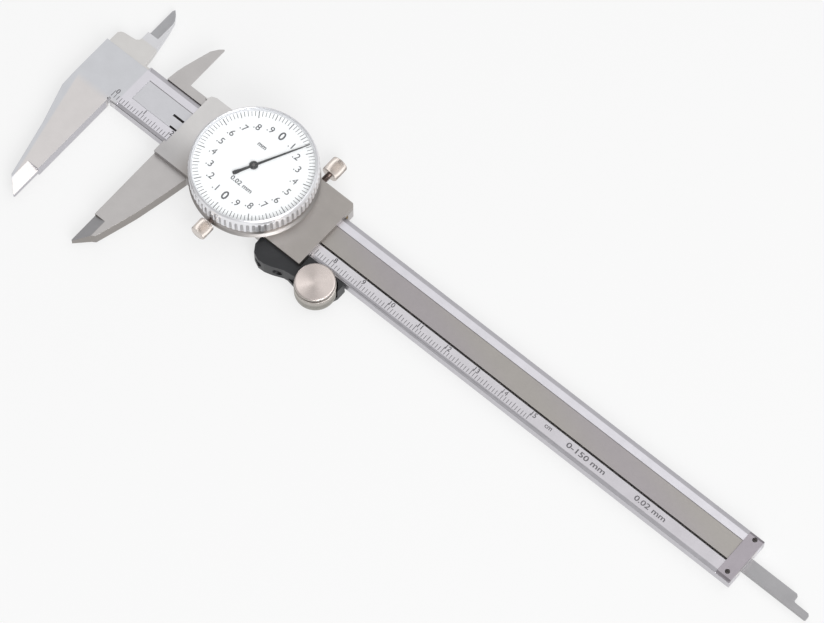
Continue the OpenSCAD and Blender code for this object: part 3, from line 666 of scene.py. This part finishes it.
# ---------------------------------------------------------------- needle
bm = bmesh.new()
out = [(-0.07, 16.6), (-0.2, 11), (-0.27, 5), (-0.36, 1.6)]
hub = [(1.25 * math.cos(math.radians(a)), 1.25 * math.sin(math.radians(a))) for a in range(105, 256, 10)]
tail = [(-0.36, -1.6), (-0.42, -3.6), (-0.62, -5.4), (-0.5, -6.1), (0.0, -6.2)]
left = out + hub + tail
outline = left + [(-x, y) for x, y in reversed(left[:-1])]
lo = [bm.verts.new((x * MM, y * MM, 0)) for x, y in outline]
hi = [bm.verts.new((x * MM * 0.9, y * MM, 0.2 * MM)) for x, y in outline]
bm.faces.new(lo[::-1])
bm.faces.new(hi)
for i in range(len(lo)):
    j = (i + 1) % len(lo)
    bm.faces.new((lo[i], lo[j], hi[j], hi[i]))
nee = obj_from_bm("needle_hand", bm, M["black_needle"], 30,
                  Matrix.Translation(Vector((DC[0], DC[1], 9.18)) * MM) @ Matrix.Rotation(math.radians(-27), 4, "Z"))
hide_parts("needle")
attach(nee, "pointer")
cap = revolve("needle_hub", [(0.42, 9.2), (1.25, 9.2), (1.25, 9.38), (1.12, 9.5), (0.8, 9.58), (0.45, 9.6), (0.4, 9.56), (0.4, 9.22)], 40, M["black_needle"],
              Matrix.Translation(Vector((DC[0], DC[1], 0)) * MM), None, 30, closed=True)
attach(cap, "pointer")


# ---------------------------------------------------------------- knurled clamp screws
def knurl(n_teeth, depth, rows):
    def f(a, k, r, z):
        if k not in rows:
            return r
        t = (a / (2 * math.pi) * n_teeth) % 1.0
        return r - depth * (1 - abs(2 * t - 1))
    return f


def clamp_screw(name, node, body, base, axis, head_r, head_len, shank_r, shank_len, neck):
    """Head, neck and thread about the axis; base is where the head starts."""
    z = Vector(axis)
    x = Vector((1, 0, 0))
    y = z.cross(x)
    rotm = Matrix((x, y, z)).transposed().to_4x4()
    place = Matrix.Translation(Vector(base) * MM) @ rotm
    prof = [(0.0, -0.02), (shank_r * 1.15, -0.02), (head_r - 0.45, 0.0), (head_r - 0.12, 0.12), (head_r, 0.3), (head_r, head_len * 0.33),
            (head_r, head_len * 0.66), (head_r, head_len - 0.35), (head_r - 0.14, head_len - 0.14), (head_r - 0.4, head_len), (0.55, head_len), (0.0, head_len - 0.08)]
    h = revolve(name + "_head", prof, 36 * 6, M["nickel"], place, knurl(36, 0.2, (4, 5, 6, 7)), 40)
    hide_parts(node)
    # thread
    pitch = 0.5
    n = 28
    bm = bmesh.new()
    rows = int(shank_len / pitch * 8)
    grid = []
    for k in range(rows + 1):
        zz = -shank_len + k * (shank_len / rows)
        ring = []
        for i in range(n):
            a = 2 * math.pi * i / n
            ph = (zz / pitch - i / n) % 1.0
            tri = 1 - abs(2 * ph - 1)
            rr = shank_r - 0.24 * (1 - tri)
            if zz > -neck:
                rr = shank_r * 0.82
            ring.append(bm.verts.new((rr * math.cos(a) * MM, rr * math.sin(a) * MM, zz * MM)))
        grid.append(ring)
    for a_, b_ in zip(grid[:-1], grid[1:]):
        for i in range(n):
            j = (i + 1) % n
            bm.faces.new((a_[i], a_[j], b_[j], b_[i]))
    bm.faces.new(grid[0][::-1])
    bm.faces.new(grid[-1])
    s = obj_from_bm(name + "_thread", bm, M["nickel_shaded"], 35, place)
    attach(h, body)
    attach(s, body)
    return h, s


clamp_screw("slider_clamp", "slider_lock_screw", "slider_lock", (61.7, 22.47, -1.6), (0, 1, 0), 2.5, 5.0, 1.0, 6.35, 0.5)
clamp_screw("bezel_clamp", "bezel_lock_screw", "bezel_lock", (47.8, 7.5 - 19.27, 3.3), (0, -1, 0), 2.3, 4.4, 0.77, 3.1, 0.4)

# ---------------------------------------------------------------- thumb roller
RC = (81.5, -5.93)
prof = [(0, 1.4), (1.25, 1.4), (1.25, -3.2), (5.55, -3.2), (5.8, -3.08), (5.9, -2.85), (5.9, -1.2), (5.9, 0.85), (5.8, 1.1), (5.6, 1.22), (5.25, 1.28), (5.2, 1.4), (5.2, 1.9),
        (5.3, 2.06), (5.5, 2.1), (5.66, 2.2), (5.7, 2.4), (5.66, 2.72), (5.5, 2.92), (5.25, 2.985), (4.9, 2.99), (2.5, 2.995), (0.5, 3.0), (0.0, 2.97)]
rol = revolve("thumb_wheel", prof, 96 * 6, M["turned_nickel"], Matrix.Translation(Vector((RC[0], RC[1], 0)) * MM), knurl(96, 0.12, (5, 6, 7)), 40)
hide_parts("thumb_roller")
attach(rol, "roller")

# ---------------------------------------------------------------- floor, light
FLOOR_Z = -5.1 * MM
bm = bmesh.new()
s = 3.0
vs = [bm.verts.new((x * s + 0.1, y * s, FLOOR_Z - 0.00002)) for x, y in ((-1, -1), (1, -1), (1, 1), (-1, 1))]
bm.faces.new(vs)
fmat, ft, fb = new_mat("floor_pale")
fo = fmat.node_tree.nodes["Material Output"]
em = ft.n("ShaderNodeEmission")
em.inputs["Color"].default_value = (0.93, 0.93, 0.93, 1)
em.inputs["Strength"].default_value = 0.755
fb.inputs["Base Color"].default_value = (0.2, 0.2, 0.2, 1)
fb.inputs["Roughness"].default_value = 0.9
fb.inputs["Specular IOR Level"].default_value = 0.0
ad = ft.n("ShaderNodeAddShader")
ft.put(ad, "i0", em.outputs[0])
ft.put(ad, "i1", fb.outputs[0])
ft.put(fo, "Surface", ad.outputs[0])
floor = obj_from_bm("floor", bm, fmat)

world = bpy.data.worlds.new("studio")
scene.world = world
world.use_nodes = True
wt = Tree(world.node_tree)
bg = world.node_tree.nodes["Background"]
tc = wt.n("ShaderNodeTexCoord")
c0 = Vector((-0.18, 0.33, 0.93)).normalized()
dp = wt.n("ShaderNodeVectorMath", {"operation": "DOT_PRODUCT"})
wt.put(dp, "i0", tc.outputs["Generated"])
dp.inputs[1].default_value = c0
k = wt.ramp(dp.outputs["Value"], 0.52, 0.97, 0.42, 0.96, smooth=True)
wt.put(bg, "Strength", k)
bg.inputs["Color"].default_value = (1.0, 1.0, 1.0, 1)



def softbox(name, toward, dist, size, energy):
    d = bpy.data.lights.new(name, "AREA")
    d.shape = "SQUARE"
    d.size = size
    d.energy = energy
    o = bpy.data.objects.new(name, d)
    scene.collection.objects.link(o)
    z = Vector(toward).normalized()
    x = Vector((0, 1, 0)).cross(z).normalized()
    y = z.cross(x)
    o.matrix_world = Matrix.Translation(Vector((0.1, 0, 0)) + z * dist) @ Matrix((x, y, z)).transposed().to_4x4()
    return o


softbox("key", (0.42, 0.33, 0.85), 3.0, 2.3, 17.0)
softbox("fill", (0.70, -0.40, 0.60), 2.4, 1.4, 48.0)

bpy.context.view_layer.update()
